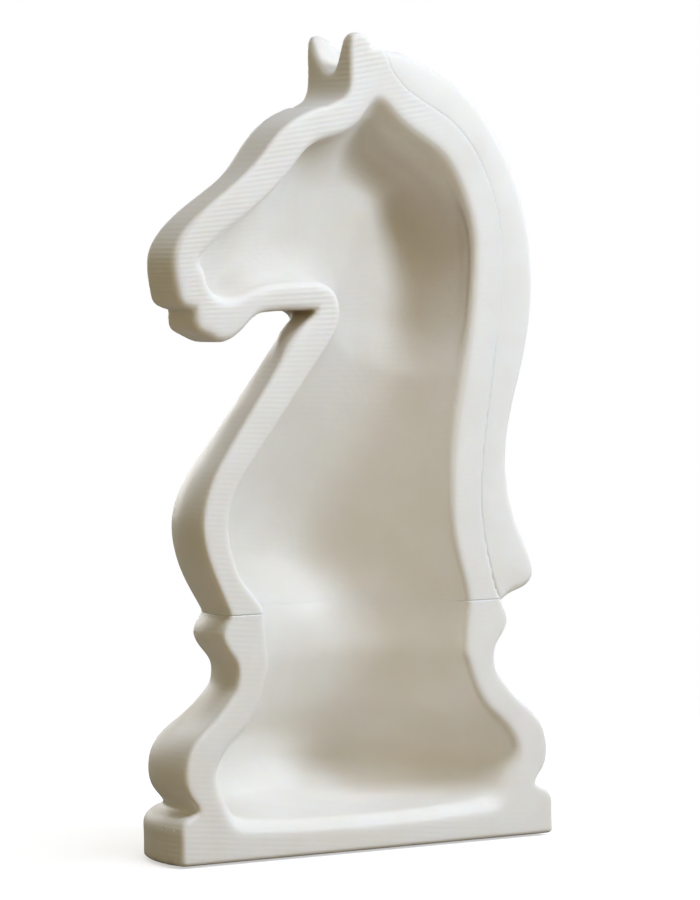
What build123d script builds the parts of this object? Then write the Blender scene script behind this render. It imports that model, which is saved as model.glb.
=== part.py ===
"""One half of a giant lawn-chess knight, open along its middle: a turned half-round pedestal, a hollow
head and neck pinned on top of it, a mane pinned to the neck, and a sand or water chamber in the plinth
that is closed by a gasketed plate below and filled through a threaded plug at the back.

Units are millimetres. +Z is up, the open side faces -Y, and the horse looks towards -X.
The origin is on the ground, under the axis of the turned base, in the plane of the open rim.
Heights in the profiles are measured from the underside of the plinth, which stands foot_proud above the ground.
"""

import os

from build123d import *

os.makedirs("parts", exist_ok=True)

# ---- driving dimensions ----
foot_proud = 0.6  # rubber feet below the plinth
base_radius = 120.5  # plinth
seam_height = 128.5  # joint between pedestal and neck, in the groove under the horse's chest
seam_radius = 87.5  # outside of the wall at that joint
seam_bore = 65.5  # inside of the wall at that joint
floor_height = 21.5  # floor of the open hollow
top_height = 430.0  # tip of the crest between the ears

mane_thickness = 18.0  # half of the mane, from the open plane back
ear_back = 42.0  # outer face of the ear, from the open plane
ear_gap_front, ear_gap_back, ear_gap_floor = 10.0, 31.0, 411.0  # gap between crest and ear

# base plate, its gasket, and the chamber above them
plate_radius, plate_front, plate_thickness = 104.0, 8.0, 4.0
plate_clearance = 0.3
gasket_thickness = 1.0
chamber_radius, chamber_front, chamber_roof = 88.0, 20.0, 18.0

# screws that hold the base plate, and the brass inserts that they turn into
screw_diameter, screw_head, screw_land, screw_length = 4.0, 8.0, 0.3, 12.0
screw_socket, screw_socket_depth = 2.5, 1.4
insert_diameter, insert_length = 6.0, 8.0
screw_circle = 96.0
front_screw_x, front_screw_y = 32.0, 14.0

# filler plug, on an axis that points straight back
plug_height = 11.0  # above the plinth's underside
plug_thread, plug_stem_length, thread_clearance = 8.0, 20.0, 0.08
plug_head, plug_head_length = 14.0, 3.5
plug_slot_width, plug_slot_depth = 1.8, 1.6
plug_recess, plug_seat = 16.0, 115.0  # bore for the head, and how far back its flat seat lies
seal_section, seal_inner, seal_squeeze = 1.6, 8.3, 0.2

foot_diameter, foot_recess = 20.0, 2.0
foot_places = ((-76, 24), (76, 24), (-34, 74), (34, 74))

collar_pin_diameter, collar_pin_length, collar_pin_circle = 6.0, 18.0, 78.5
mane_pin_diameter, mane_pin_length = 5.0, 20.0
mane_pin_places = ((77.2, 165), (80.2, 222), (90.4, 285), (89.0, 340))  # x of the ridge, height

far = 200.0  # longer than any section of the piece

# ---- reference planes ----
plinth_plane = Plane.XY.offset(foot_proud)
side_plane = Plane(origin=(0, 0, foot_proud), x_dir=(1, 0, 0), z_dir=(0, -1, 0))
front_plane = Plane(origin=(-far, 0, foot_proud), x_dir=(0, 1, 0), z_dir=(1, 0, 0))


underside_plane = Plane(origin=(0, 0, foot_proud), x_dir=(-1, 0, 0), z_dir=(0, 0, -1))


def level(height):
    """The horizontal plane at a height above the plinth's underside."""
    return Plane.XY.offset(foot_proud + height)


def back_plane(y):
    """The upright plane across the filler plug's axis, with its normal pointing back."""
    return Plane(origin=(0, y, foot_proud + plug_height), x_dir=(-1, 0, 0), z_dir=(0, 1, 0))


# ---- places of the fastenings ----
screw_spots = [
    *PolarLocations(screw_circle, 6, start_angle=12, angular_range=156, endpoint=True),
    *Locations((-front_screw_x, front_screw_y), (front_screw_x, front_screw_y)),
]
collar_pin_spots = list(PolarLocations(collar_pin_circle, 3, start_angle=6, angular_range=168, endpoint=True))
mane_pin_planes = [
    Plane(origin=(x - mane_pin_length / 2, mane_thickness / 2, foot_proud + height), z_dir=(1, 0, 0))
    for x, height in mane_pin_places
]


# ---- outlines in the side plane (x, height) ----
notch = (109.3, 28.2)
bulge = (117.4, 46.5)
waist = (83.3, 98.5)
collar_tip = (92.4, 117.5)

throat = (-28.7, 286.4)
nose_tip = (-118.0, 311.0)
crest_front = (-4.2, 424.0)
mane_top = (17.4, 420.2)
mane_tail = (110.2, 143.0)


def neck_ridge():
    """The back of the neck, where the mane is fitted, from the ears down to the pedestal."""
    return Spline(
        mane_top, (37.0, 397.0), (60.0, 384.0), (79.5, 361.0), (90.0, 334.0), (92.5, 308.0),
        (87.4, 264.0), (81.0, 227.0), (76.8, 198.0), (76.8, 170.0), (81.5, 146.0),
        (seam_radius, seam_height),
    )  # fmt: skip


def chest_and_throat():
    """From the seam up the chest to the corner under the jaw."""
    chest = (-103.7, 178.0)
    throat_start, throat_end = (-91.0, 208.5), (-47.0, 266.0)
    Spline((-seam_radius, seam_height), (-95.0, 144.0), chest, throat_start, tangents=[(-0.5, 1), (0.6, 0.8)])
    Line(throat_start, throat_end)
    Spline(throat_end, (-33.5, 279.5), throat, tangents=[(0.6, 0.8), (0.1, 1)])


def jaw_and_mouth():
    """Along the jaw to the chin, and up past the step of the mouth to the lip."""
    jaw_end, chin, lower_lip = (-60.0, 286.8), (-89.0, 272.0), (-105.3, 283.0)
    mouth, upper_lip = (-105.6, 288.0), (-111.5, 289.4)
    Line(throat, jaw_end)
    Spline(jaw_end, (-70.5, 283.3), (-78.0, 277.0), chin, (-100.5, 276.0), lower_lip, tangents=[(-1, 0), (0, 1)])
    Line(lower_lip, mouth)
    Line(mouth, upper_lip)
    Spline(upper_lip, (-116.2, 297.0), nose_tip, tangents=[(-1, 0.3), (0, 1)])


def face_and_ear():
    """Over the nose and brow to the ear, and down behind it to the mane."""
    Spline(
        nose_tip, (-114.3, 323.0), (-98.0, 338.5), (-65.0, 363.0), (-41.0, 384.2), (-22.0, 391.2), (-11.0, 394.6),
        tangents=[(0, 1), (0.93, 0.37)],
    )  # fmt: skip
    Spline((-11.0, 394.6), (-6.0, 399.4), (-4.6, 406.0), tangents=[(0.93, 0.37), (0.05, 1)])
    Line((-4.6, 406.0), crest_front)
    Spline(crest_front, (0.0, top_height), (8.4, 426.0), mane_top, tangents=[(0.05, 1), (1, -0.25)])


def hollow_outline():
    """The hollow of the head and neck at the open face, a closed curve from the seam and back."""
    left_seam, right_seam = (-seam_bore, seam_height), (seam_bore, seam_height)
    throat_low, throat_high = (-75.0, 202.0), (-25.0, 262.0)
    Spline(left_seam, (-72.5, 137.0), (-83.0, 157.0), (-86.5, 176.0), throat_low, tangents=[(-0.3, 1), (0.65, 0.76)])
    Line(throat_low, throat_high)
    Spline(
        throat_high, (-13.0, 281.0), (-17.0, 296.0), (-38.0, 301.0), (-66.0, 298.0), (-86.0, 293.4), (-96.0, 300.5),
        (-99.0, 310.0), (-91.5, 321.5), tangents=[(0.64, 0.77), (0.75, 0.6)],
    )  # fmt: skip
    Spline(
        (-91.5, 321.5), (-58.5, 344.8), (-41.5, 360.5), (-28.7, 372.3), (-11.0, 377.2), (2.3, 385.3), (12.5, 396.0),
        tangents=[(0.8, 0.6), (0.9, 0.4)],
    )  # fmt: skip
    Spline(
        (12.5, 396.0), (22.4, 387.5), (33.5, 377.4), (53.3, 364.4), (65.8, 344.7), (72.5, 321.0), (72.0, 299.0),
        (64.4, 250.5), (57.0, 215.0), (55.4, 187.0), (58.0, 158.0), (63.5, 138.0), right_seam,
        tangents=[(0.9, -0.3), (0.1, -1)],
    )  # fmt: skip
    Line(right_seam, left_seam)


# ---- horizontal sections of the neck: height, centre x, half width, half depth ----
neck_sections = (
    (seam_height, 0.0, seam_radius, seam_radius),
    (150.0, -9.0, 90.0, 90.0),
    (176.0, -13.5, 91.0, 88.0),
    (200.0, -10.5, 88.5, 82.0),
    (225.0, 1.0, 82.0, 75.0),
    (250.0, 12.4, 74.0, 67.0),
    (278.0, 26.0, 68.0, 57.0),
    (305.0, 32.0, 64.0, 50.0),
)
hollow_sections = (
    (seam_height, 0.0, seam_bore, seam_bore),
    (150.0, -9.5, 71.5, 71.0),
    (176.0, -15.5, 72.0, 70.0),
    (200.0, -10.0, 67.0, 64.0),
    (225.0, 1.0, 61.0, 57.0),
    (250.0, 15.0, 52.0, 49.0),
    (278.0, 27.0, 44.0, 40.0),
    (305.0, 30.0, 42.0, 34.0),
)


# ---- pedestal ----
def pedestal_outline():
    """Half section of the turned base, axis to rim."""
    edge_start, edge_middle, edge_end = (base_radius, 16.5), (119.0, 22.3), (114.2, 25.4)
    Line((0, 0), (base_radius, 0))
    Line((base_radius, 0), edge_start)
    ThreePointArc(edge_start, edge_middle, edge_end)
    Line(edge_end, notch)
    Spline(notch, (114.6, 36.0), bulge, tangents=[(0.3, 1), (0, 1)])
    Spline(bulge, (111.8, 63.0), (98.0, 75.0), (87.2, 86.5), waist, tangents=[(0, 1), (0, 1)])
    Spline(waist, (86.3, 106.5), collar_tip, tangents=[(0, 1), (0.15, 1)])
    Spline(collar_tip, (90.6, 123.0), (seam_radius, seam_height), tangents=[(-0.15, 1), (-0.3, 1)])
    Line((seam_radius, seam_height), (0, seam_height))
    Line((0, seam_height), (0, 0))


def pedestal_hollow():
    """Half section of the open space inside the turned base."""
    floor_edge = (78.0, floor_height)
    Line((0, floor_height), floor_edge)
    Spline(
        floor_edge, (88.5, 30.5), (96.3, 46.0), (90.5, 57.5), (72.5, 75.5), (63.8, 98.0),
        (seam_bore, seam_height), tangents=[(1, 0), (0.1, 1)],
    )  # fmt: skip
    Line((seam_bore, seam_height), (0, seam_height))
    Line((0, seam_height), (0, floor_height))


def half_disc(radius, front):
    """The part of a disc that lies behind the line y = front."""
    with BuildSketch(mode=Mode.PRIVATE) as shape:
        Circle(radius)
        with Locations((0, front - far)):
            Rectangle(2 * far, 2 * far, mode=Mode.SUBTRACT)
    return shape.sketch


with BuildPart() as pedestal_shell:
    with BuildSketch(side_plane):
        with BuildLine():
            pedestal_outline()
        make_face()
    revolve(axis=Axis.Z, revolution_arc=180)
    with BuildSketch(side_plane):
        with BuildLine():
            pedestal_hollow()
        make_face()
    revolve(axis=Axis.Z, revolution_arc=180, mode=Mode.SUBTRACT)
    # rebate for the base plate and its gasket, and the chamber above them
    with BuildSketch(plinth_plane):
        add(half_disc(plate_radius + plate_clearance, plate_front - plate_clearance))
    extrude(amount=plate_thickness + gasket_thickness, mode=Mode.SUBTRACT)
    with BuildSketch(plinth_plane):
        add(half_disc(chamber_radius, chamber_front))
    extrude(amount=chamber_roof, mode=Mode.SUBTRACT)
    # filler: seat for the plug's head and seal, and the bore into the chamber
    with BuildSketch(back_plane(plug_seat)):
        Circle(plug_recess / 2)
    extrude(amount=base_radius - plug_seat + 1, mode=Mode.SUBTRACT)
    with BuildSketch(back_plane(plug_seat)):
        Circle(plug_thread / 2 + thread_clearance)
    extrude(amount=-(plug_seat - chamber_radius + 5), mode=Mode.SUBTRACT)
    # holes for the threaded inserts and for the pins at the seam
    with BuildSketch(level(plate_thickness + gasket_thickness)):
        with Locations(*screw_spots):
            Circle(insert_diameter / 2)
    extrude(amount=insert_length, mode=Mode.SUBTRACT)
    with BuildSketch(level(seam_height)):
        with Locations(*collar_pin_spots):
            Circle(collar_pin_diameter / 2)
    extrude(amount=-collar_pin_length / 2, mode=Mode.SUBTRACT)
pedestal_shell.part.label = "pedestal_shell"
export_step(pedestal_shell.part, "parts/pedestal_shell.step")


# ---- head and neck ----
def neck_body(sections):
    """A loft through the neck's horizontal sections."""
    with BuildPart() as neck:
        for height, centre, half_width, half_depth in sections:
            with BuildSketch(level(height)):
                with Locations((centre, 0)):
                    Ellipse(half_width, half_depth)
        loft()
    return neck.part


def head_body(plan, widths, underside):
    """The head: an upright block with the given plan, narrowed to a half width at each height, and cut
    off below the line of its underside, which is given in the side plane."""
    low, high = min(height for x, height in underside), widths[-1][1]
    with BuildPart() as head:
        with BuildSketch(level(low)):
            with BuildLine():
                Spline(plan)
                Line(plan[-1], plan[0])
            make_face()
        extrude(amount=high - low)
        with BuildSketch(front_plane):
            with BuildLine():
                Polyline((0, low), (widths[0][0], low), *widths, (0, high), close=True)
            make_face()
        extrude(amount=2 * far, mode=Mode.INTERSECT)
        with BuildSketch(side_plane):
            with BuildLine():
                Polyline((-far, high), *underside, (far, high), close=True)
            make_face()
        extrude(amount=-far, mode=Mode.INTERSECT)
    return head.part


# plans of the head from the nose back to the mane, its (half width, height) from the jaw up, and its underside
head_plan = (
    (-121.0, 0.0), (-118.0, 21.0), (-106.0, 31.0), (-70.0, 35.0), (-35.0, 43.0), (5.0, 50.0), (45.0, 50.0),
    (80.0, 37.0), (96.0, 0.0),
)  # fmt: skip
head_widths = ((54.0, 345.0), (43.0, 385.0), (ear_back, 395.0), (ear_back, top_height + 1))
head_underside = ((-far, 265.0), (-75.0, 265.0), throat, (far, throat[1]))
head_hollow_plan = (
    (-101.0, 0.0), (-98.0, 9.0), (-88.0, 16.0), (-60.0, 20.0), (-30.0, 27.0), (5.0, 34.0), (40.0, 34.0),
    (64.0, 23.0), (76.0, 0.0),
)  # fmt: skip
head_hollow_widths = ((36.0, 345.0), (27.0, 380.0), (22.0, 397.0))
head_hollow_underside = ((-far, 290.0), (far, 290.0))

with BuildPart() as side_block:
    with BuildSketch(side_plane):
        with BuildLine():
            chest_and_throat()
            jaw_and_mouth()
            face_and_ear()
            neck_ridge()
            Line((seam_radius, seam_height), (-seam_radius, seam_height))
        make_face()
    extrude(amount=-far)

with BuildPart() as head_hollow:
    with BuildSketch(side_plane):
        with BuildLine():
            hollow_outline()
        make_face()
    extrude(amount=-far)
    inside_head = head_body(head_hollow_plan, head_hollow_widths, head_hollow_underside)
    add(neck_body(hollow_sections) + inside_head, mode=Mode.INTERSECT)

with BuildPart() as head_neck_shell:
    add(neck_body(neck_sections))
    add(head_body(head_plan, head_widths, head_underside))
    add(side_block.part, mode=Mode.INTERSECT)
    add(head_hollow.part, mode=Mode.SUBTRACT)
    # gap between the crest and the ear
    with BuildSketch(front_plane):
        with BuildLine():
            gap_top = top_height + 5
            gap_low = ((ear_gap_front + ear_gap_back) / 2 - 2, ear_gap_floor)
            Spline((ear_gap_front, gap_top), gap_low, (ear_gap_back + 3, gap_top), tangents=[(0, -1), (0, 1)])
            Line((ear_gap_back + 3, gap_top), (ear_gap_front, gap_top))
        make_face()
    extrude(amount=2 * far, mode=Mode.SUBTRACT)
    # pin holes at the seam and along the ridge
    with BuildSketch(level(seam_height)):
        with Locations(*collar_pin_spots):
            Circle(collar_pin_diameter / 2)
    extrude(amount=collar_pin_length / 2, mode=Mode.SUBTRACT)
    with BuildSketch(*mane_pin_planes):
        Circle(mane_pin_diameter / 2)
    extrude(amount=mane_pin_length, mode=Mode.SUBTRACT)
head_neck_shell.part.label = "head_neck_shell"
export_step(head_neck_shell.part, "parts/head_neck_shell.step")


# ---- mane ----
with BuildPart() as mane_crest:
    with BuildSketch(side_plane):
        with BuildLine():
            neck_ridge()
            Line((seam_radius, seam_height), (97.0, 132.8))
            Spline((97.0, 132.8), (107.6, 137.0), mane_tail, tangents=[(0.95, 0.3), (0, 1)])
            Spline(
                mane_tail, (101.5, 164.0), (93.4, 196.0), (96.2, 224.0), (105.6, 255.0), (112.2, 288.0),
                (111.2, 320.0), (102.8, 352.0), (83.3, 385.0), (57.0, 406.4), (35.0, 417.0), mane_top,
                tangents=[(-0.2, 1), (-1, 0.1)],
            )  # fmt: skip
        make_face()
    extrude(amount=-mane_thickness)
    with BuildSketch(*mane_pin_planes):
        Circle(mane_pin_diameter / 2)
    extrude(amount=mane_pin_length, mode=Mode.SUBTRACT)
mane_crest.part.label = "mane_crest"
export_step(mane_crest.part, "parts/mane_crest.step")


# ---- pins ----
with BuildPart() as collar_pins:
    with BuildSketch(level(seam_height - collar_pin_length / 2)):
        with Locations(*collar_pin_spots):
            Circle(collar_pin_diameter / 2)
    extrude(amount=collar_pin_length)
    chamfer(collar_pins.edges().filter_by(GeomType.CIRCLE), 0.6)
collar_pins.part.label = "collar_pins"
export_step(collar_pins.part, "parts/collar_pins.step")

with BuildPart() as mane_pins:
    with BuildSketch(*mane_pin_planes):
        Circle(mane_pin_diameter / 2)
    extrude(amount=mane_pin_length)
    chamfer(mane_pins.edges().filter_by(GeomType.CIRCLE), 0.5)
mane_pins.part.label = "mane_pins"
export_step(mane_pins.part, "parts/mane_pins.step")


# ---- base plate, gasket and fastenings ----
with BuildPart() as base_plate:
    with BuildSketch(plinth_plane):
        add(half_disc(plate_radius, plate_front))
    extrude(amount=plate_thickness)
    with Locations(underside_plane):
        with Locations(*foot_places):
            Hole(foot_diameter / 2 + 0.2, depth=foot_recess)
        with Locations(*screw_spots):
            CounterSinkHole(screw_diameter / 2 + 0.2, screw_head / 2 + screw_land + 0.2)
base_plate.part.label = "base_plate"
export_step(base_plate.part, "parts/base_plate.step")

with BuildPart() as base_gasket:
    with BuildSketch(level(plate_thickness)):
        add(half_disc(plate_radius, plate_front))
        add(half_disc(chamber_radius, chamber_front), mode=Mode.SUBTRACT)
        with Locations(*screw_spots):
            Circle(screw_diameter / 2 + 0.2, mode=Mode.SUBTRACT)
    extrude(amount=gasket_thickness)
base_gasket.part.label = "base_gasket"
export_step(base_gasket.part, "parts/base_gasket.step")

with BuildPart() as threaded_inserts:
    with BuildSketch(level(plate_thickness + gasket_thickness)):
        with Locations(*screw_spots):
            Circle(insert_diameter / 2)
            Circle(screw_diameter / 2 + 0.05, mode=Mode.SUBTRACT)
    extrude(amount=insert_length)
threaded_inserts.part.label = "threaded_inserts"
export_step(threaded_inserts.part, "parts/threaded_inserts.step")

with BuildPart() as base_plate_screws:
    cone_height = (screw_head - screw_diameter) / 2
    with BuildSketch(level(0)):
        with Locations(*screw_spots):
            Circle(screw_head / 2)
    extrude(amount=screw_land)
    with Locations(level(screw_land)):
        with Locations(*screw_spots):
            Cone(screw_head / 2, screw_diameter / 2, cone_height, align=(Align.CENTER, Align.CENTER, Align.MIN))
    with BuildSketch(level(screw_land + cone_height)):
        with Locations(*screw_spots):
            Circle(screw_diameter / 2)
    extrude(amount=screw_length - screw_land - cone_height)
    with BuildSketch(level(0)):
        with Locations(*screw_spots):
            RegularPolygon(screw_socket / 2, 6, major_radius=False)
    extrude(amount=screw_socket_depth, mode=Mode.SUBTRACT)
base_plate_screws.part.label = "base_plate_screws"
export_step(base_plate_screws.part, "parts/base_plate_screws.step")

with BuildPart() as foot_pads:
    with BuildSketch(Plane.XY):
        with Locations(*foot_places):
            Circle(foot_diameter / 2)
    extrude(amount=foot_proud + foot_recess)
    chamfer(foot_pads.faces().sort_by(Axis.Z)[:4].edges(), 0.4)
foot_pads.part.label = "foot_pads"
export_step(foot_pads.part, "parts/foot_pads.step")


# ---- filler plug ----
head_back = plug_seat + seal_section - seal_squeeze  # underside of the plug's head

with BuildPart() as filler_plug:
    with BuildSketch(back_plane(head_back)):
        Circle(plug_head / 2)
    extrude(amount=plug_head_length)
    chamfer(filler_plug.faces().sort_by(Axis.Y)[-1].edges(), 0.6)
    with BuildSketch(back_plane(head_back)):
        Circle(plug_thread / 2)
    extrude(amount=-plug_stem_length)
    chamfer(filler_plug.faces().sort_by(Axis.Y)[0].edges(), 0.8)
    with BuildSketch(back_plane(head_back + plug_head_length)):
        Rectangle(plug_head + 1, plug_slot_width)
    extrude(amount=-plug_slot_depth, mode=Mode.SUBTRACT)
filler_plug.part.label = "filler_plug"
export_step(filler_plug.part, "parts/filler_plug.step")

with BuildPart() as plug_seal:
    squeezed = seal_section - seal_squeeze - 0.04
    ring_radius = (seal_inner + seal_section) / 2
    with BuildSketch(Plane(origin=(0, head_back - 0.02 - squeezed / 2, foot_proud + plug_height), z_dir=(0, 0, 1))):
        with Locations((ring_radius, 0)):
            Ellipse(seal_section / 2, squeezed / 2)
    revolve(axis=Axis((0, 0, foot_proud + plug_height), (0, 1, 0)))
plug_seal.part.label = "plug_seal"
export_step(plug_seal.part, "parts/plug_seal.step")
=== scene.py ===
"""Looks of the open half of a giant lawn-chess knight.

The CAD rim gives the outlines. The shells are grown from them as solid fields, negative inside and
measured in millimetres, and are meshed in metres. A field is an array over a box of points.
"""

import math

import bmesh
import bpy
import numpy as np
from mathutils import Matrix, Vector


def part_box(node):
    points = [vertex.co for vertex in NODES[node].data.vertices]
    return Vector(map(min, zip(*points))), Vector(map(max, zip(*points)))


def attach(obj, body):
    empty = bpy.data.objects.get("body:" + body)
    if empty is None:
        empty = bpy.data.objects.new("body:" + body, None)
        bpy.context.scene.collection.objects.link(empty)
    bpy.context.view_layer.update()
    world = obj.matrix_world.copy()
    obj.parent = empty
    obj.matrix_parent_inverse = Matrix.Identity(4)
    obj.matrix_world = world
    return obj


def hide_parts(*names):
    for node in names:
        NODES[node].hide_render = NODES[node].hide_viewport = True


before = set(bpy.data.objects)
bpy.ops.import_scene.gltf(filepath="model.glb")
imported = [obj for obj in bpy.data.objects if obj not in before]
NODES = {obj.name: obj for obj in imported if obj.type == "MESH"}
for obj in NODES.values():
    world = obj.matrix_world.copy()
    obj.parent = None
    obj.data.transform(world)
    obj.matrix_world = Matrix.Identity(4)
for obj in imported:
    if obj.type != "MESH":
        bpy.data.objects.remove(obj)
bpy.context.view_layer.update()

import openvdb
from mathutils import Matrix, Vector

MM = 0.001


# ---------------------------------------------------------------- outlines from the CAD rim


def node_box(node):
    """Lowest and highest corner of a CAD node, in millimetres."""
    low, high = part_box(node)
    return np.array(low) / MM, np.array(high) / MM


def rim_loop(node):
    """The outline of a node's flat face in the plane y = 0, as (x, z) points in order."""
    mesh = NODES[node].data
    count = {}
    for polygon in mesh.polygons:
        corners = [mesh.vertices[i].co / MM for i in polygon.vertices]
        if any(abs(c.y) > 1e-3 for c in corners):
            continue
        keys = [(round(c.x, 3), round(c.z, 3)) for c in corners]
        for edge in map(frozenset, zip(keys, keys[1:] + keys[:1])):
            count[edge] = count.get(edge, 0) + 1
    links = {}
    for a, b in (tuple(edge) for edge, n in count.items() if n == 1 and len(edge) == 2):
        links.setdefault(a, []).append(b)
        links.setdefault(b, []).append(a)
    here = min(links)
    loop, previous = [here], None
    while True:
        previous, here = here, next(p for p in links[here] if p != previous)
        if here == loop[0]:
            return np.array(loop)
        loop.append(here)


def chain(loop, start, end, through):
    """The stretch of a closed loop from the point nearest start to the one nearest end, by way of through."""
    i, j = (int(np.hypot(*(loop - p).T).argmin()) for p in (start, end))
    one = np.roll(loop, -i, axis=0)[: (j - i) % len(loop) + 1]
    other = np.roll(loop[::-1], i + 1, axis=0)[: (i - j) % len(loop) + 1]
    return min((one, other), key=lambda way: np.hypot(*(way - through).T).min())


def smooth_through(loop, steps=4, corner=math.radians(14)):
    """A closed loop with extra points on a smooth curve through its own, keeping its corners sharp."""
    ahead = np.roll(loop, -1, axis=0) - loop
    length = np.hypot(*ahead.T)[:, None]
    way = ahead / length
    before, length_before = np.roll(way, 1, axis=0), np.roll(length, 1, axis=0)
    turn = np.arccos(np.clip((before * way).sum(1), -1, 1))[:, None]
    tangent = (way * length_before + before * length) / (length + length_before)
    leaving = np.where(turn > corner, way, tangent)
    arriving = np.roll(np.where(turn > corner, before, tangent), -1, axis=0)
    end = np.roll(loop, -1, axis=0)
    rows = []
    for t in np.arange(steps) / steps:
        weights = (2 * t**3 - 3 * t**2 + 1, t**3 - 2 * t**2 + t, 3 * t**2 - 2 * t**3, t**3 - t**2)
        parts = (loop, leaving * length, end, arriving * length)
        rows.append(sum(w * p for w, p in zip(weights, parts)))
    return np.stack(rows, axis=1).reshape(-1, 2)


head_rim, pedestal_rim, mane_rim = (rim_loop(n) for n in ("head_neck_shell", "pedestal_shell", "mane_crest"))
GROUND, SEAM, TOP = pedestal_rim[:, 1].min(), head_rim[:, 1].min(), head_rim[:, 1].max()
BASE_RADIUS = pedestal_rim[:, 0].max()
at_seam = np.sort(head_rim[np.abs(head_rim[:, 1] - SEAM) < 0.01][:, 0])
wall_left, bore_left, bore_right, wall_right = ((at_seam[i], SEAM) for i in (0, 1, -2, -1))

OUTLINE = smooth_through(np.vstack([
    chain(head_rim, wall_right, wall_left, (0, TOP))[:-1],
    chain(pedestal_rim, wall_left, wall_right, (-BASE_RADIUS, GROUND))[:-1],
]))  # fmt: skip
HOLLOW = smooth_through(np.vstack([
    chain(head_rim, bore_left, bore_right, (12, 396))[:-1],
    chain(pedestal_rim, bore_right, bore_left, (0, GROUND + 21.5))[:-1],
]))  # fmt: skip
MANE = smooth_through(mane_rim)


# ---------------------------------------------------------------- solid fields


def round_and(a, b, radius):
    """Both solids at once, with a rounded edge where their surfaces meet."""
    flat = np.minimum(-radius, np.maximum(a, b))
    return flat + np.hypot(np.maximum(a + radius, 0), np.maximum(b + radius, 0))


def round_or(a, b, radius):
    """Either solid, with a fillet where their surfaces meet."""
    flat = np.maximum(radius, np.minimum(a, b))
    return flat - np.hypot(np.maximum(radius - a, 0), np.maximum(radius - b, 0))


def ease(start, end, value):
    """0 before start, 1 after end, and smooth between them."""
    t = np.clip((value - start) / (end - start), 0, 1)
    return t * t * (3 - 2 * t)


def curve(points, value, blur):
    """A smooth curve near the given (position, value) points, read at evenly spaced positions."""
    step = abs(value[1] - value[0])
    reach = int(3 * blur / step)
    kernel = np.exp(-0.5 * (np.arange(-reach, reach + 1) * step / blur) ** 2)
    before, after = value[0] - step * np.arange(reach, 0, -1), value[-1] + step * np.arange(1, reach + 1)
    padded = np.concatenate([before, value, after])
    return np.convolve(np.interp(padded, *zip(*points)), kernel / kernel.sum(), mode="valid")


def soften(plane, width, step):
    """A side-plane field blurred by a width, which rounds its outline off."""
    reach = int(3 * width / step)
    kernel = np.exp(-0.5 * (np.arange(-reach, reach + 1) * step / width) ** 2)
    kernel /= kernel.sum()
    padded = np.pad(plane, reach, mode="edge")
    for axis in (0, 1):
        padded = np.apply_along_axis(np.convolve, axis, padded, kernel, mode="valid")
    return padded


class Box:
    """An even grid of points around the piece, and the plane fields that its solids are made from."""

    def __init__(self, low, high, voxel):
        self.low, self.voxel = np.array(low, float), voxel
        self.x, self.y, self.z = (
            a + voxel * np.arange(math.ceil((b - a) / voxel)) for a, b in zip(low, high)
        )

    def distance(self, loop):
        """Signed distance, in the side plane, from each (x, z) of the grid to a closed outline."""
        x, z = self.x[:, None], self.z[None, :]
        best = np.full((len(self.x), len(self.z)), np.inf)
        inside = np.zeros(best.shape, bool)
        for (ax, az), (bx, bz) in zip(loop, np.roll(loop, -1, axis=0)):
            ex, ez = bx - ax, bz - az
            t = np.clip(((x - ax) * ex + (z - az) * ez) / (ex * ex + ez * ez), 0, 1)
            best = np.minimum(best, (x - ax - t * ex) ** 2 + (z - az - t * ez) ** 2)
            if az != bz:
                inside ^= ((az <= z) != (bz <= z)) & (x < ax + (z - az) * ex / ez)
        return np.where(inside, -1, 1) * np.sqrt(best)

    def look_up(self, plane, x):
        """Values of a side-plane field at other x positions, given on the whole grid, row by row of z."""
        at = np.clip((x - self.x[0]) / self.voxel, 0, len(self.x) - 1.001)
        i = at.astype(np.int32)
        k = np.arange(len(self.z))[None, None, :]
        t = at - i
        return plane[i, k] * (1 - t) + plane[i + 1, k] * t

    def mesh(self, name, field):
        """The surface of a field as a new object."""
        grid = openvdb.FloatGrid(5.0)
        grid.copyFromArray(np.clip(field, -5, 5).astype(np.float32))
        points, triangles, quads = grid.convertToPolygons(isovalue=0.0)
        faces = [*triangles.tolist(), *quads[:, ::-1].tolist()]
        mesh = bpy.data.meshes.new(name)
        mesh.from_pydata(((points * self.voxel + self.low) * MM).tolist(), [], faces)
        piece = bpy.data.objects.new(name, mesh)
        bpy.context.scene.collection.objects.link(piece)
        mesh.shade_smooth()
        return piece


def crossings(loop, z):
    """The x positions at which a closed outline crosses a height."""
    a, b = loop, np.roll(loop, -1, axis=0)
    hit = (a[:, 1] <= z) != (b[:, 1] <= z)
    a, b = a[hit], b[hit]
    return a[:, 0] + (z - a[:, 1]) * (b[:, 0] - a[:, 0]) / (b[:, 1] - a[:, 1])


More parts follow.
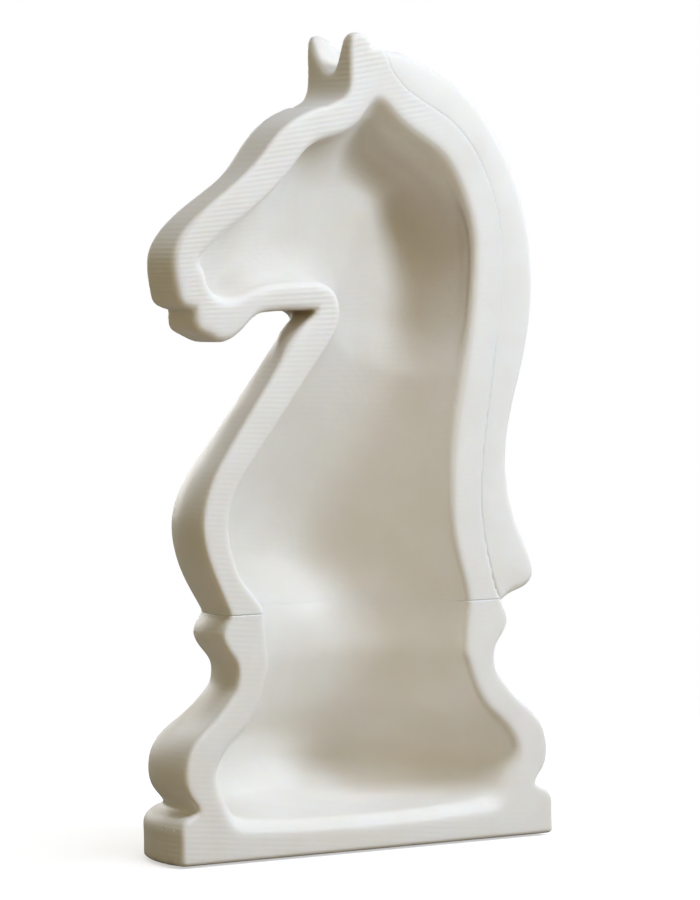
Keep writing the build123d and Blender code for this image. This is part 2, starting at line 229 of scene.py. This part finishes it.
def oval_body(box, loop, plane, depth, throat, pinch=0.0, blur=0.0):
    """Turned below the seam and oval above it: each level's section fills the outline at the rim.

    depth gives the sections' depth above the seam as (height, depth) points. Above the throat the front edge
    of the sections leaves the outline and leans back into the head."""
    middle, lean, merge = 20.0, 0.9, 35.0
    left, right = [], []
    for z in box.z:
        row = crossings(loop, np.clip(z, loop[:, 1].min() + 0.05, TOP - 45))
        edge = row[row < middle].max(initial=-BASE_RADIUS)
        left.append(edge if z < throat[1] else throat[0] + lean * (z - throat[1]))
        right.append(row[row > middle].min(initial=BASE_RADIUS))
    left, right = np.array(left), np.array(right)
    if blur:
        left, right = (curve(list(zip(box.z, line)), box.z, blur) for line in (left, right))
    width = np.maximum((right - left) / 2, 12)
    centre = (right + left) / 2
    above = box.z > SEAM
    at_seam = width[above][0]
    deep = np.where(box.z < SEAM, width, curve([(SEAM - 30, at_seam), *depth], box.z, 6))
    step = at_seam - deep[above][0]
    deep = np.where(box.z < SEAM, width, deep + step * ease(SEAM + 20, SEAM, box.z))
    if blur:
        waist = pinch * np.exp(-(((box.z - SEAM + 14) / 14) ** 2))
        deep, width = curve(list(zip(box.z, deep - waist)), box.z, blur), width - 0.5 * waist
    x, y = box.x[:, None, None], box.y[None, :, None]
    across = (x - centre) / width
    size = np.hypot(across, y / deep)
    rear = 0.5 + 0.5 * across / np.maximum(size, 1e-6)
    on_left, on_right = (box.look_up(plane, centre + side * width * size) for side in (-1, 1))
    traced = on_left * (1 - rear) + on_right * rear
    plain = (size - 1) * np.minimum(width, deep)
    blend = ease(throat[1] - merge - 20, throat[1] - 20, box.z)
    return traced * (1 - blend) + plain * blend


MARGIN = 6.0
SHELL_VOXEL, MANE_VOXEL = ((1.6, 1.0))
box = Box(
    (-BASE_RADIUS - MARGIN, -MARGIN, GROUND - MARGIN),
    (BASE_RADIUS + MARGIN, BASE_RADIUS + MARGIN, TOP + MARGIN),
    SHELL_VOXEL,
)
outline, hollow_outline, mane_outline = (box.distance(loop) for loop in (OUTLINE, HOLLOW, MANE))
px, pz = box.x[:, None], box.z[None, :]
y, z = box.y[None, :, None], box.z[None, None, :]


def behind(plane):
    """A side-plane field as a field of the whole box."""
    return plane[:, None, :]


def bump(x, z, width, height):
    """A round swelling on the side of the head, centred at (x, z)."""
    return height * np.exp(-((px - x) ** 2 + (pz - z) ** 2) / (2 * width**2))


# depths behind the rim: (height, depth) up the neck, and (x, depth) along the head
NECK_DEPTH = [
    (128, 88), (150, 96), (176, 94), (188, 91), (200, 84), (215, 77), (235, 69), (255, 63), (278, 58),
    (305, 56), (345, 46), (440, 30),
]  # fmt: skip
NECK_HOLLOW = [
    (128, 66), (146, 80), (160, 83), (176, 81), (200, 73), (225, 63), (250, 52), (278, 44), (305, 38),
    (345, 31), (440, 20),
]  # fmt: skip
HEAD_DEPTH = [(-130, 30), (-118, 31), (-95, 30), (-70, 33), (-35, 42), (5, 53), (45, 55), (80, 44), (110, 28)]
HEAD_HOLLOW = [(-110, 10), (-98, 16), (-88, 20), (-60, 25), (-30, 32), (5, 39), (40, 39), (64, 37), (90, 34)]
THROAT, INNER_THROAT = (-28.7, 287.0), (-13.0, 282.0)
EYE, NOSTRIL, CHEEK, MOUTH = (-33, 354), (-103, 320), (8, 318), (-104, 290)
CREST_DEPTH = 42.5  # most depth at the top of the head
WALL = 9.0  # least wall thickness

# the outer shape: neck and turned pedestal, then the head
outer = outline - 0.8 - bump(-72, 268, 22, 1.2) - 0.5 * ease(0, 60, px)
head_depth = curve(HEAD_DEPTH, box.x, 7)[:, None]
head_depth = head_depth - ease(345, 395, pz) * np.maximum(head_depth - CREST_DEPTH, 0)
head_depth = head_depth + bump(*EYE, 7.5, -2.2) + bump(*EYE, 3.4, 4.2)
head_depth = head_depth + bump(*NOSTRIL, 4.0, -3.2) + bump(*CHEEK, 26, 2.5)
along = px - MOUTH[0]
mouth = np.hypot(along - np.clip(along, -16, 14), pz - MOUTH[1] - 0.12 * along)
head_depth = head_depth - 2.0 * np.exp(-((mouth / 2.2) ** 2))
corner = 8 + 6 * ease(-100, -70, px) - 4 * ease(-30, 0, px) - 5 * ease(388, 400, pz)
jaw_line = np.where(
    px < THROAT[0],
    0.8 * (THROAT[1] - 1 + 0.75 * (px - THROAT[0]) - pz),
    THROAT[1] - 1 - pz - 0.15 * (px - THROAT[0]),
)
neck = oval_body(box, OUTLINE, outline, NECK_DEPTH, THROAT)
head = round_and(behind(outer), y - behind(head_depth), behind(corner))
head = round_and(head, behind(jaw_line), behind(3 + 13 * ease(THROAT[0], THROAT[0] + 25, px)))
body = np.maximum(round_or(neck, head, 10.0), behind(outer))

# gap between the crest and the ear
GAP_HEIGHT, GAP_PLACE = TOP - 19, 19.0
steepness = np.where(y < GAP_PLACE, 0.19, 0.066)
gap = z - GAP_HEIGHT - steepness * (y - GAP_PLACE) ** 2
gap = gap / np.hypot(1, 2 * steepness * (y - GAP_PLACE))
body = round_and(body, gap, 4.0)

# the inner shape follows the outer one, a wall thickness further in
hollow_depth = curve(HEAD_HOLLOW, box.x, 6)[:, None] - ease(365, 400, pz) * 10
soft_outline = soften(hollow_outline, 6.0, box.voxel)
inner_neck = oval_body(box, HOLLOW, soft_outline, NECK_HOLLOW, INNER_THROAT, pinch=6.0, blur=7.0)
draft = (0.2 + 0.2 * ease(315, 370, pz)) * ease(-40, 10, px)
bowl = 10 + 12 * ease(-95, -60, px) - 6 * ease(0, 30, px)
inner_head = round_and(behind(soft_outline) + behind(draft) * y, y - behind(hollow_depth), behind(bowl))
reach = ease(0, 30, px)
inner_head = round_and(inner_head, behind(INNER_THROAT[1] - 4 - pz - 22 * reach), behind(14 + 12 * reach))
inner_neck = round_and(inner_neck, z - 345, 18.0)
hollow = round_or(inner_neck, inner_head, behind(9 + 9 * reach))
deep_in = ease(1, 14, y)
hollow = hollow * deep_in + behind(soften(hollow_outline, 1.8, box.voxel)) * (1 - deep_in)
hollow = np.maximum(hollow, behind(soft_outline) - 2.5)
hollow = round_and(hollow, body + WALL, 5.0)

by_mane = ease(5, 1, mane_outline)
at_muzzle = ease(-70, -90, px) * ease(262, 272, pz) * ease(340, 328, pz)
by_hollow = ease(-4, 4, np.abs(outline) - np.abs(hollow_outline))
low_down = ease(100, 60, pz) + 2.0 * ease(48, 26, pz)
at_crest = ease(10, 40, px) * ease(150, 220, pz)
edge = 2.3 + (1.3 + 1.7 * low_down + 2.5 * at_crest) * by_hollow + 2.0 * at_muzzle + bump(-45, 292, 22, 1.6)
edge = edge * (1 - by_mane) + 0.15 * by_mane
shell = round_and(round_and(body, -hollow, 1.0), -y, behind(edge))
shell = round_and(shell, GROUND - z, 1.5)


# ---------------------------------------------------------------- pieces


def solid(name, vertices, faces):
    """A new object from vertices in millimetres."""
    mesh = bpy.data.meshes.new(name)
    mesh.from_pydata([Vector(v) * MM for v in vertices], [], faces)
    piece = bpy.data.objects.new(name, mesh)
    bpy.context.scene.collection.objects.link(piece)
    return piece


def rod(name, radius, start, end, sides=64):
    """A cylinder between two points."""
    made = bmesh.new()
    length = (Vector(end) - Vector(start)).length
    turn = Vector((0, 0, 1)).rotation_difference(Vector(end) - Vector(start)).to_matrix().to_4x4()
    place = Matrix.Translation((Vector(start) + Vector(end)) / 2 * MM) @ turn
    bmesh.ops.create_cone(
        made,
        cap_ends=True,
        segments=sides,
        radius1=radius * MM,
        radius2=radius * MM,
        depth=length * MM,
        matrix=place,
    )
    mesh = bpy.data.meshes.new(name)
    made.to_mesh(mesh)
    made.free()
    piece = bpy.data.objects.new(name, mesh)
    bpy.context.scene.collection.objects.link(piece)
    return piece


def copy_of(node):
    """A loose, watertight copy of a CAD node, to cut with."""
    made = bmesh.new()
    made.from_mesh(NODES[node].data)
    made.transform(NODES[node].matrix_world)
    bmesh.ops.remove_doubles(made, verts=made.verts, dist=0.001 * MM)
    mesh = bpy.data.meshes.new("cutter")
    made.to_mesh(mesh)
    made.free()
    cutter = bpy.data.objects.new("cutter", mesh)
    bpy.context.scene.collection.objects.link(cutter)
    return cutter


def cut(piece, cutter):
    """Cut one solid out of another and delete the cutter."""
    change = piece.modifiers.new("cut", "BOOLEAN")
    change.operation, change.object, change.solver = "DIFFERENCE", cutter, "MANIFOLD"
    bpy.context.view_layer.update()
    mesh = bpy.data.meshes.new_from_object(piece.evaluated_get(bpy.context.evaluated_depsgraph_get()))
    piece.modifiers.clear()
    piece.data = mesh
    bpy.data.objects.remove(cutter)


def half(piece, name, height, above):
    """The part of a piece above or below a height, closed at the cut."""
    made = bmesh.new()
    made.from_mesh(piece.data)
    cut_here = bmesh.ops.bisect_plane(
        made, geom=[*made.verts, *made.edges, *made.faces], plane_co=(0, 0, height * MM), plane_no=(0, 0, 1),
        clear_inner=above, clear_outer=not above,
    )  # fmt: skip
    rim = [e for e in cut_here["geom_cut"] if isinstance(e, bmesh.types.BMEdge)]
    bmesh.ops.triangle_fill(made, edges=rim, use_beauty=True)
    bmesh.ops.recalc_face_normals(made, faces=made.faces)
    mesh = bpy.data.meshes.new(name)
    made.to_mesh(mesh)
    made.free()
    part = bpy.data.objects.new(name, mesh)
    bpy.context.scene.collection.objects.link(part)
    return part


def finish_surface(piece, angle=40):
    piece.data.shade_smooth()
    piece.data.set_sharp_from_angle(angle=math.radians(angle))


whole = box.mesh("whole", shell)
pedestal = half(whole, "pedestal", SEAM, above=False)
neck_and_head = half(whole, "neck_and_head", SEAM, above=True)
bpy.data.objects.remove(whole)

# room under the floor, taken from the CAD base
ROOM_RADIUS, ROOM_TOP, ROOM_END = BASE_RADIUS - 0.2, GROUND + 19.4, 0.02
angles = np.linspace(ROOM_END, math.pi - ROOM_END, 181)
arc = [(ROOM_RADIUS * math.cos(a), ROOM_RADIUS * math.sin(a)) for a in angles]
ring = [(*corner, height) for height in (GROUND - 1, ROOM_TOP) for corner in arc]
count = len(angles)
sides = [(i, (i + 1) % count, count + (i + 1) % count, count + i) for i in range(count)]
room = solid("room", ring, [tuple(range(count))[::-1], tuple(range(count, 2 * count)), *sides])
cut(room, copy_of("pedestal_shell"))
cut(pedestal, room)
cut(pedestal, copy_of("collar_pins"))
low, high = node_box("filler_plug")
PLUG_Z, PLUG_TIP, PLUG_BACK = (low[2] + high[2]) / 2, low[1], high[1]
HEAD_RADIUS, HEAD_GAP, RECESS_DEPTH = (high[0] - low[0]) / 2, 1.0, 4.9
recess_ends = ((0, PLUG_BACK + way, PLUG_Z) for way in (-RECESS_DEPTH, MARGIN))
cut(pedestal, rod("recess", HEAD_RADIUS + HEAD_GAP, *recess_ends))
cut(neck_and_head, copy_of("collar_pins"))
cut(neck_and_head, copy_of("mane_pins"))

# mane
low, high = node_box("mane_crest")
MANE_DEPTH = high[1]
mane_box = Box((low[0] - 5, -4, low[2] - 5), (high[0] + 5, MANE_DEPTH + 4, high[2] + 5), MANE_VOXEL)
px, pz = mane_box.x[:, None], mane_box.z[None, :]
y = mane_box.y[None, :, None]
mane_plane = mane_box.distance(MANE)
JOINT_REACH = 3.0  # points of the mane nearer to the neck than this lie on their joint
JOINT_RECESS, CROWN, LOCK_DEPTH, LOCK_LENGTH = 0.06, 1.7, 1.4, 17


def to_nearest(points):
    """Distance in the side plane from each point of the grid to the nearest of some points."""
    best = np.full(mane_plane.shape, np.inf)
    for x, z in points:
        best = np.minimum(best, np.hypot(px - x, pz - z))
    return best


on_joint = [min(np.hypot(*(OUTLINE - p).T)) <= JOINT_REACH for p in MANE]
to_outside = to_nearest(p for p, joined in zip(MANE, on_joint) if not joined)
to_joint = to_nearest(p for p, joined in zip(MANE, on_joint) if joined)
crown = JOINT_RECESS + CROWN * (to_joint / (to_joint + to_outside)) ** 2
along = pz + 0.6 * px
furrow = 1 - np.abs(np.sin(along * math.pi / LOCK_LENGTH)) ** 0.7
locks = LOCK_DEPTH * (1 - ease(3, 9, to_outside) * furrow)
mane_field = round_and(behind(mane_plane - 1.3), y - behind(MANE_DEPTH - LOCK_DEPTH + locks), 5.0)
mane_field = round_and(mane_field, behind(crown) - y, behind(0.3 + 3.2 * ease(9, 3, to_outside)))
mane = mane_box.mesh("mane", mane_field)
cut(mane, copy_of("mane_pins"))

# filler plug with a right-hand thread
THREAD_RADIUS, THREAD_PITCH, THREAD_DEPTH, NECK_RADIUS, HEAD_HEIGHT = 3.98, 2.0, 0.55, 3.3, 3.5
FLUTES, FLUTE_DEPTH, SLOT_HALF_WIDTH, SLOT_DEPTH = 30, 0.16, 0.9, 1.6
AROUND, ROW_STEP, RUNOUT = 96, 0.16, 1.4
head_under = PLUG_BACK - HEAD_HEIGHT
turns = np.arange(AROUND) / AROUND
rows = []
for h in np.arange(PLUG_TIP, head_under - RUNOUT, ROW_STEP):
    ridge = 0.5 + 0.5 * np.cos(2 * math.pi * ((h - PLUG_TIP) / THREAD_PITCH - turns))
    fade = ease(0, RUNOUT, h - PLUG_TIP) * ease(head_under - RUNOUT, head_under - RUNOUT - THREAD_PITCH, h)
    lead_in = 0.5 * ease(0.9, 0, h - PLUG_TIP)
    rows.append((h, THREAD_RADIUS - THREAD_DEPTH + THREAD_DEPTH * fade * ridge**0.7 - lead_in))
flutes = FLUTE_DEPTH * (1 + np.cos(2 * math.pi * FLUTES * turns)) / 2
for h, r, fluted in (
    (head_under - 1.0, NECK_RADIUS, 0),
    (head_under - 0.15, NECK_RADIUS, 0),
    (head_under, NECK_RADIUS + 0.15, 0),
    (head_under, HEAD_RADIUS - 0.4, 0),
    (head_under + 0.3, HEAD_RADIUS - 0.1, 0),
    (head_under + 0.6, HEAD_RADIUS, 1),
    (PLUG_BACK - 1.0, HEAD_RADIUS, 1),
    (PLUG_BACK - 0.6, HEAD_RADIUS - 0.1, 0),
    (PLUG_BACK - 0.2, HEAD_RADIUS - 0.4, 0),
    (PLUG_BACK, HEAD_RADIUS - 0.9, 0),
):
    rows.append((h, r - fluted * flutes + 0 * turns))
points = [
    (r * math.sin(2 * math.pi * t), h, PLUG_Z + r * math.cos(2 * math.pi * t))
    for h, radii in rows
    for t, r in zip(turns, radii)
]
faces = []
for lower in range(0, (len(rows) - 1) * AROUND, AROUND):
    for j in range(AROUND):
        k = (j + 1) % AROUND
        faces.append((lower + j, lower + k, lower + AROUND + k, lower + AROUND + j))
last = (len(rows) - 1) * AROUND
plug = solid("plug", points, [tuple(range(AROUND))[::-1], *faces, tuple(range(last, last + AROUND))])
slot = [
    (x, PLUG_BACK + y, PLUG_Z + z)
    for y in (-SLOT_DEPTH, 2)
    for z in (-SLOT_HALF_WIDTH, SLOT_HALF_WIDTH)
    for x in (-HEAD_RADIUS - 1, HEAD_RADIUS + 1)
]
box_faces = [(0, 2, 3, 1), (4, 5, 7, 6), (0, 1, 5, 4), (2, 6, 7, 3), (0, 4, 6, 2), (1, 3, 7, 5)]
plug.data.validate()
cut(plug, solid("slot", slot, box_faces))
finish_surface(plug, 35)
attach(plug, "plug")
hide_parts("filler_plug")

for piece, node in ((pedestal, "pedestal_shell"), (neck_and_head, "head_neck_shell"), (mane, "mane_crest")):
    finish_surface(piece)
    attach(piece, "shell")
    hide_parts(node)


# ---------------------------------------------------------------- materials


class Graph:
    """A material's node tree, with short ways to add to it."""

    def __init__(self, name):
        self.material = bpy.data.materials.new(name)
        self.material.use_nodes = True
        self.tree = self.material.node_tree
        self.surface = self.tree.nodes["Principled BSDF"]
        self.place = self.add("ShaderNodeTexCoord").outputs["Object"]

    def add(self, kind, inputs=None, **settings):
        node = self.tree.nodes.new(kind)
        for key, value in settings.items():
            setattr(node, key, value)
        for key, value in (inputs or {}).items():
            self.feed(node.inputs[key], value)
        return node

    def feed(self, socket, value):
        if isinstance(value, bpy.types.NodeSocket):
            self.tree.links.new(value, socket)
        else:
            socket.default_value = value

    def math(self, operation, *values):
        node = self.add("ShaderNodeMath", dict(enumerate(values)), operation=operation)
        return node.outputs[0]

    def span(self, value, low, high, start=0.0, end=1.0):
        """A smooth change from start to end as the value goes from low to high."""
        inputs = {"Value": value, "From Min": low, "From Max": high, "To Min": start, "To Max": end}
        return self.add("ShaderNodeMapRange", inputs, interpolation_type="SMOOTHSTEP").outputs["Result"]

    def noise(self, size, detail=3.0, stretch=(1, 1, 1)):
        """Noise with features of about the given size in metres."""
        spread = self.add("ShaderNodeMapping", {"Vector": self.place, "Scale": stretch}).outputs["Vector"]
        inputs = {"Vector": spread, "Scale": 1 / size, "Detail": detail}
        return self.add("ShaderNodeTexNoise", inputs).outputs["Fac"]

    def mix(self, amount, a, b):
        node = self.add("ShaderNodeMix", data_type="RGBA")
        for socket, value in zip((node.inputs["Factor"], node.inputs[6], node.inputs[7]), (amount, a, b)):
            self.feed(socket, value)
        return node.outputs[2]

    def bump(self, height, distance, below=None):
        inputs = {"Height": height, "Distance": distance}
        if below is not None:
            inputs["Normal"] = below
        return self.add("ShaderNodeBump", inputs).outputs["Normal"]

    def set(self, **inputs):
        for key, value in inputs.items():
            self.feed(self.surface.inputs[key.replace("_", " ")], value)
        return self.material


def finish_of(name, dark, light, patch, grain, roughness, height, **extra):
    """A worn, slightly uneven finish between two colours, with a fine grain."""
    g = Graph(name)
    uneven, fine = g.noise(patch), g.noise(grain, 5.0)
    return g.set(
        Base_Color=g.mix(g.span(uneven, 0.35, 0.65), (*dark, 1), (*light, 1)),
        Roughness=g.span(fine, 0.3, 0.7, roughness - 0.08, roughness + 0.08),
        Normal=g.bump(fine, height),
        **extra,
    )


LAYER_PITCH = 2.85 * MM
PAINTED_SHADE_TINT = (0.28, 0.195, 0.085, 1)  # painted warm shade, for corners that little light reaches
PAINTED_SHADE_SIDE = (-0.8, 0.1, -0.6)  # the direction that surfaces with painted shade face


def ivory(name, lines):
    """Translucent ivory plastic with the faint slanting layer lines of a printed part, and painted warm shade
    in its hollows.
    """
    g = Graph(name)
    x, y, z = g.add("ShaderNodeSeparateXYZ", {"Vector": g.place}).outputs
    rise = g.math("POWER", g.span(z, 0.12, 0.40), 1.6)
    tilt = g.math("MULTIPLY_ADD", rise, 0.234, -0.095)
    level = g.math("SUBTRACT", z, g.math("MULTIPLY", tilt, x))
    uneven, cloud, grain = g.noise(0.05), g.noise(0.03, 2.0), g.noise(0.0009, 4.0)
    level = g.math("ADD", level, g.math("MULTIPLY", cloud, 0.0008))
    wave = g.math("SINE", g.math("MULTIPLY", level, 2 * math.pi / LAYER_PITCH))
    near = g.math("MULTIPLY", g.span(y, 0.004, 0.03, 1.0, 0.35), g.span(x, 0.02, 0.075, 1.0, 0.25))
    near = g.math("MULTIPLY", near, g.span(z, 0.2, 0.29, 0.5, 1.0))
    patchy = g.math("MULTIPLY", near, g.span(uneven, 0.38, 0.6, 0.15, 1.0))
    layers = g.math("MULTIPLY", g.math("MULTIPLY", wave, patchy), lines)
    scratches = g.noise(0.004, 4.0, (1, 1, 7))
    relief = g.bump(grain, 0.00003, g.bump(scratches, 0.00004, g.bump(layers, 0.00004)))
    tone = g.mix(g.span(cloud, 0.35, 0.65), (0.90, 0.868, 0.80, 1), (0.92, 0.895, 0.84, 1))
    # painted shade: a warm tan is mixed into the base colour on surfaces facing left and down, more so high
    # up the piece and where ambient occlusion finds little open space
    facing = g.add("ShaderNodeVectorMath", operation="DOT_PRODUCT")
    g.feed(facing.inputs[0], g.add("ShaderNodeNewGeometry").outputs["Normal"])
    facing.inputs[1].default_value = PAINTED_SHADE_SIDE
    shaded = g.math("MULTIPLY_ADD", g.span(facing.outputs["Value"], 0.0, 0.55), 0.75, 0.25)
    painted_shade = g.math("MULTIPLY", shaded, g.span(z, 0.2, 0.33, 0.22, 1.0))
    open_sky = g.add("ShaderNodeAmbientOcclusion", {"Distance": 0.09}, samples=6).outputs["AO"]
    painted_shade = g.math("MULTIPLY", g.span(open_sky, 0.25, 0.92, 1.0, 0.0), painted_shade)
    return g.set(
        Base_Color=g.mix(painted_shade, tone, PAINTED_SHADE_TINT),
        Roughness=g.span(uneven, 0.3, 0.7, 0.42, 0.56),
        Normal=relief,
        Subsurface_Weight=0.2,
        Subsurface_Radius=(1.0, 0.62, 0.36),
        Subsurface_Scale=0.004,
        Specular_IOR_Level=0.35,
    )


IVORY = ivory("ivory_shell", 1.0)
IVORY_SMOOTH = ivory("ivory_mane", 0.15)
RUBBER = finish_of("dark_rubber", (0.018, 0.018, 0.019), (0.035, 0.034, 0.033), 0.012, 0.0006, 0.72, 0.00006)
SEAL = finish_of("seal_rubber", (0.012, 0.012, 0.013), (0.03, 0.03, 0.03), 0.004, 0.0004, 0.5, 0.00002)
PLATE = finish_of("grey_plastic", (0.20, 0.20, 0.195), (0.26, 0.26, 0.25), 0.02, 0.0005, 0.5, 0.00004)
PLUG = finish_of("plug_plastic", (0.62, 0.60, 0.55), (0.70, 0.68, 0.63), 0.006, 0.0004, 0.45, 0.00002)
METAL = {"patch": 0.003, "grain": 0.0003, "height": 0.00001, "Metallic": 1.0}
BRASS = finish_of("insert_brass", (0.55, 0.36, 0.12), (0.70, 0.50, 0.20), roughness=0.34, **METAL)
STEEL = finish_of("screw_steel", (0.42, 0.42, 0.43), (0.60, 0.60, 0.61), roughness=0.30, **METAL)

LOOKS = {
    pedestal: IVORY,
    neck_and_head: IVORY,
    mane: IVORY_SMOOTH,
    "collar_pins": STEEL,
    "mane_pins": STEEL,
    "base_plate": PLATE,
    "base_gasket": RUBBER,
    "base_plate_screws": STEEL,
    "threaded_inserts": BRASS,
    "foot_pads": RUBBER,
    "filler_plug": PLUG,
    plug: PLUG,
    "plug_seal": SEAL,
}
for thing, look in LOOKS.items():
    mesh = (NODES[thing] if isinstance(thing, str) else thing).data
    mesh.materials.clear()
    mesh.materials.append(look)


# ---------------------------------------------------------------- studio


def aim(thing, place, target):
    thing.location = place
    thing.rotation_euler = (Vector(target) - Vector(place)).to_track_quat("-Z", "Y").to_euler()
    bpy.context.scene.collection.objects.link(thing)


def soft_light(name, place, target, size, power, colour):
    lamp = bpy.data.lights.new(name, "AREA")
    lamp.shape, lamp.size, lamp.energy, lamp.color = "DISK", size, power, colour
    light = bpy.data.objects.new(name, lamp)
    aim(light, place, target)


MIDDLE = (0.0, 0.03, 0.22)


def around(turn, rise, distance):
    """A place around the piece: turned from the front towards the right, and raised, in degrees."""
    turn, rise = math.radians(turn), math.radians(rise)
    way = Vector((math.sin(turn) * math.cos(rise), -math.cos(turn) * math.cos(rise), math.sin(rise)))
    return Vector(MIDDLE) + distance * way


soft_light("key", around(30, 27, 1.55), MIDDLE, 0.38, 15.0, (0.747, 0.842, 1.0))
soft_light("top", (-0.15, -0.9, 2.6), MIDDLE, 1.2, 27.1, (0.728, 0.804, 1.0))
soft_light("right", around(85, 10, 2.2), MIDDLE, 1.4, 10.4, (0.719, 0.832, 1.0))
soft_light("left", around(-48, 8, 2.2), MIDDLE, 1.4, 4.5, (1.0, 0.68, 0.27))
soft_light("left_behind", around(-110, 15, 2.2), MIDDLE, 1.4, 0.8, (0.5, 0.7, 1.0))
soft_light("back", around(168, 12, 2.0), MIDDLE, 1.0, 10, (0.97, 0.98, 1.0))

# surroundings: white to the camera, and as light cool from the right and warm from the left
FROM_RIGHT, FROM_LEFT, WHITE = (0.272, 0.252, 0.205, 1), (0.15, 0.135, 0.06, 1), (1, 1, 1, 1)
world = bpy.data.worlds.new("studio")
bpy.context.scene.world = world
world.use_nodes = True
nodes, links = world.node_tree.nodes, world.node_tree.links
background = nodes["Background"]
direction = nodes.new("ShaderNodeTexCoord").outputs["Generated"]
toward_left = nodes.new("ShaderNodeVectorMath")
toward_left.operation = "DOT_PRODUCT"
toward_left.inputs[1].default_value = (-0.85, -0.45, 0.1)
links.new(direction, toward_left.inputs[0])
ramp = nodes.new("ShaderNodeValToRGB")
ramp.color_ramp.interpolation = "EASE"
ramp.color_ramp.elements[0].color = FROM_RIGHT
ramp.color_ramp.elements[1].color = FROM_LEFT
spread = nodes.new("ShaderNodeMapRange")
spread.inputs["From Min"].default_value, spread.inputs["From Max"].default_value = -0.5, 0.8
links.new(toward_left.outputs["Value"], spread.inputs["Value"])
links.new(spread.outputs["Result"], ramp.inputs["Fac"])
seen = nodes.new("ShaderNodeLightPath").outputs["Is Camera Ray"]
mix = nodes.new("ShaderNodeMix")
mix.data_type = "RGBA"
links.new(seen, mix.inputs["Factor"])
links.new(ramp.outputs["Color"], mix.inputs[6])
mix.inputs[7].default_value = WHITE
links.new(mix.outputs[2], background.inputs["Color"])

# a pale floor that fades into the white surroundings
FLOOR_RADIUS, FLOOR_LEVEL = 3.0, -0.1 * MM
made = bmesh.new()
bmesh.ops.create_circle(made, cap_ends=True, segments=96, radius=FLOOR_RADIUS)
disc = bpy.data.meshes.new("floor")
made.to_mesh(disc)
made.free()
floor = bpy.data.objects.new("floor", disc)
floor.location.z = FLOOR_LEVEL
bpy.context.scene.collection.objects.link(floor)
paper = Graph("pale_paper")
seen = paper.add("ShaderNodeLightPath").outputs["Is Camera Ray"]
mottle = paper.mix(paper.noise(0.4), (0.80, 0.80, 0.80, 1), (0.83, 0.83, 0.83, 1))
away = paper.add("ShaderNodeVectorMath", {0: paper.place}, operation="LENGTH").outputs["Value"]
fade = paper.math("MULTIPLY", seen, paper.span(away, 0.3, 1.1))
paper.set(
    Base_Color=paper.mix(seen, (0.33, 0.28, 0.21, 1), mottle),
    Roughness=0.85,
    Emission_Color=WHITE,
    Emission_Strength=paper.math("MULTIPLY", seen, 0.55),
    Alpha=paper.math("SUBTRACT", 1.0, fade),
    Normal=paper.bump(paper.noise(0.002), 0.00002),
)
floor.data.materials.append(paper.material)

CAMERA_PLACE = Vector((-1.75416, -2.45475, 0.32414))
CAMERA_TURN, CAMERA_PITCH, CAMERA_ROLL = (math.radians(a) for a in (35.41, -2.143, -1.04))
CAMERA_SHIFT = (-0.8 * MM, 0.9 * MM, 0)  # to its right and up, in its own view
camera_data = bpy.data.cameras.new("camera")
camera_data.sensor_fit, camera_data.sensor_height, camera_data.lens = "VERTICAL", 36, 229.7
camera = bpy.data.objects.new("camera", camera_data)
bpy.context.scene.collection.objects.link(camera)
flat = Matrix.Rotation(-CAMERA_TURN, 4, "Z") @ Matrix.Rotation(math.pi / 2 + CAMERA_PITCH, 4, "X")
view = Matrix.Translation(CAMERA_PLACE) @ flat @ Matrix.Rotation(CAMERA_ROLL, 4, "Z")
camera.matrix_world = view @ Matrix.Translation(CAMERA_SHIFT)
bpy.context.scene.camera = camera
bpy.context.scene.view_settings.view_transform = "Standard"
